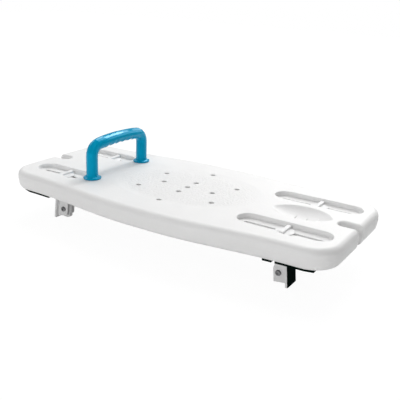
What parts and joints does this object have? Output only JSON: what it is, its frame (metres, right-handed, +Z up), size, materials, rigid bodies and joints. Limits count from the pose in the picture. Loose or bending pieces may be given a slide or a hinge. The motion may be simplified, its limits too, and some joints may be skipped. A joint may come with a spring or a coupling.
{
  "type": "bath board",
  "caption": "Moulded bath board with a dished seat, drain holes, soap dish and hose slots, a grab handle and sliding brackets with rubber-faced legs below.",
  "frame": {"origin": "on the level of the bracket feet, below the middle of the board", "axes": "+X along the board towards the end with the soap dish, +Y across it to the rear, +Z up"},
  "size_m": [0.738, 0.3474, 0.1929],
  "materials": {
    "board_white": "fine satin, blow-moulded polyethylene",
    "bracket_white": "satin, injection-moulded",
    "handle_blue": "glossy",
    "rubber_black": "matt",
    "steel": "zinc-plated, dull"
  },
  "bodies": {
    "board": {"seat_board": "board_white", "grab_handle": "handle_blue", "handle_bolt_front": "steel", "handle_bolt_rear": "steel", "handle_washer_front": "steel", "handle_washer_rear": "steel", "rim_strip_outer_front_left": "rubber_black", "rim_strip_outer_front_right": "rubber_black", "rim_strip_inner_front_right": "rubber_black", "rim_strip_outer_rear_left": "rubber_black", "rim_strip_outer_rear_right": "rubber_black", "rim_strip_inner_rear_right": "rubber_black"},
    "slider_front_left": {"slider_block_front_left": "bracket_white", "clamp_stud_front_left": "steel", "knob_washer_front_left": "steel", "pivot_screw_front_left": "steel", "pivot_nut_front_left": "steel"},
    "knob_front_left": {"clamp_knob_front_left": "bracket_white"},
    "leg_front_left": {"pivot_leg_front_left": "bracket_white", "rubber_pad_front_left": "rubber_black"},
    "slider_front_right": {"slider_block_front_right": "bracket_white", "clamp_stud_front_right": "steel", "knob_washer_front_right": "steel", "pivot_screw_front_right": "steel", "pivot_nut_front_right": "steel"},
    "knob_front_right": {"clamp_knob_front_right": "bracket_white"},
    "leg_front_right": {"pivot_leg_front_right": "bracket_white", "rubber_pad_front_right": "rubber_black"},
    "slider_rear_left": {"slider_block_rear_left": "bracket_white", "clamp_stud_rear_left": "steel", "knob_washer_rear_left": "steel", "pivot_screw_rear_left": "steel", "pivot_nut_rear_left": "steel"},
    "knob_rear_left": {"clamp_knob_rear_left": "bracket_white"},
    "leg_rear_left": {"pivot_leg_rear_left": "bracket_white", "rubber_pad_rear_left": "rubber_black"},
    "slider_rear_right": {"slider_block_rear_right": "bracket_white", "clamp_stud_rear_right": "steel", "knob_washer_rear_right": "steel", "pivot_screw_rear_right": "steel", "pivot_nut_rear_right": "steel"},
    "knob_rear_right": {"clamp_knob_rear_right": "bracket_white"},
    "leg_rear_right": {"pivot_leg_rear_right": "bracket_white", "rubber_pad_rear_right": "rubber_black"}
  },
  "joints": [
    {"name": "slide_front_left", "type": "slide", "parent": "board", "child": "slider_front_left", "axis": [1, 0, 0], "range_m": [-0.0455, 0.0285]},
    {"name": "knob_turn_front_left", "type": "hinge", "parent": "slider_front_left", "child": "knob_front_left", "pos_m": [-0.2615, -0.0798, 0.0971], "axis": [0, 0, 1], "continuous": true},
    {"name": "leg_swing_front_left", "type": "hinge", "parent": "slider_front_left", "child": "leg_front_left", "pos_m": [-0.2615, -0.0798, 0.0218], "axis": [0, -1, 0], "range_deg": [0, 20]},
    {"name": "slide_front_right", "type": "slide", "parent": "board", "child": "slider_front_right", "axis": [1, 0, 0], "range_m": [-0.0648, 0.0592]},
    {"name": "knob_turn_front_right", "type": "hinge", "parent": "slider_front_right", "child": "knob_front_right", "pos_m": [0.2563, -0.0798, 0.0971], "axis": [0, 0, 1], "continuous": true},
    {"name": "leg_swing_front_right", "type": "hinge", "parent": "slider_front_right", "child": "leg_front_right", "pos_m": [0.2563, -0.0798, 0.0218], "axis": [0, 1, 0], "range_deg": [0, 20]},
    {"name": "slide_rear_left", "type": "slide", "parent": "board", "child": "slider_rear_left", "axis": [1, 0, 0], "range_m": [-0.0455, 0.0285]},
    {"name": "knob_turn_rear_left", "type": "hinge", "parent": "slider_rear_left", "child": "knob_rear_left", "pos_m": [-0.2615, 0.0798, 0.0971], "axis": [0, 0, 1], "continuous": true},
    {"name": "leg_swing_rear_left", "type": "hinge", "parent": "slider_rear_left", "child": "leg_rear_left", "pos_m": [-0.2615, 0.0798, 0.0218], "axis": [0, -1, 0], "range_deg": [0, 20]},
    {"name": "slide_rear_right", "type": "slide", "parent": "board", "child": "slider_rear_right", "axis": [1, 0, 0], "range_m": [-0.0648, 0.0592]},
    {"name": "knob_turn_rear_right", "type": "hinge", "parent": "slider_rear_right", "child": "knob_rear_right", "pos_m": [0.2563, 0.0798, 0.0971], "axis": [0, 0, 1], "continuous": true},
    {"name": "leg_swing_rear_right", "type": "hinge", "parent": "slider_rear_right", "child": "leg_rear_right", "pos_m": [0.2563, 0.0798, 0.0218], "axis": [0, 1, 0], "range_deg": [0, 20]}
  ]
}
